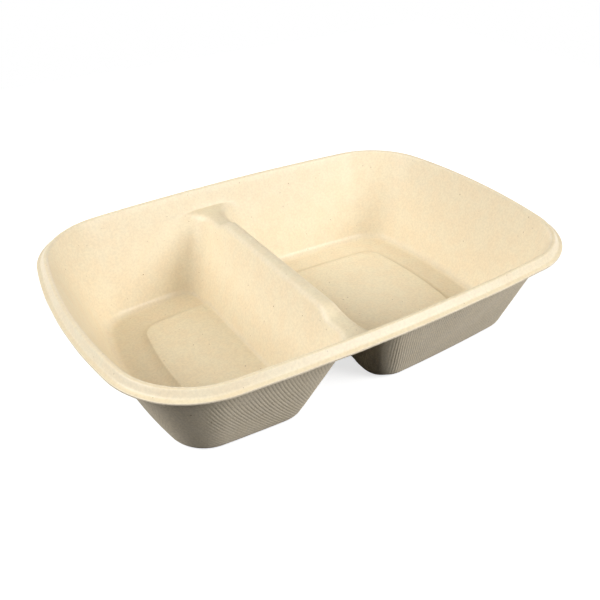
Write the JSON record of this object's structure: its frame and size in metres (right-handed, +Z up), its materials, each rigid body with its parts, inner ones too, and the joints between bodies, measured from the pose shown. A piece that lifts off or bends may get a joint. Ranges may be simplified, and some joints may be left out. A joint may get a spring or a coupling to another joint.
{
  "type": "compartment meal box",
  "caption": "Open takeaway meal box pressed from moulded plant fibre, with a beaded rim and a divider between a small and a large compartment.",
  "frame": {"origin": "middle of the outline, on the table that the box stands on", "axes": "+X along the length, towards the large compartment; +Y along the width and the divider; +Z up"},
  "size_m": [0.228, 0.1612, 0.0486],
  "materials": {
    "moulded_fibre": "matte unbleached plant fibre, smooth inside and ribbed by the forming screen outside"
  },
  "bodies": {
    "root": {"food_tray": "moulded_fibre"}
  },
  "joints": []
}
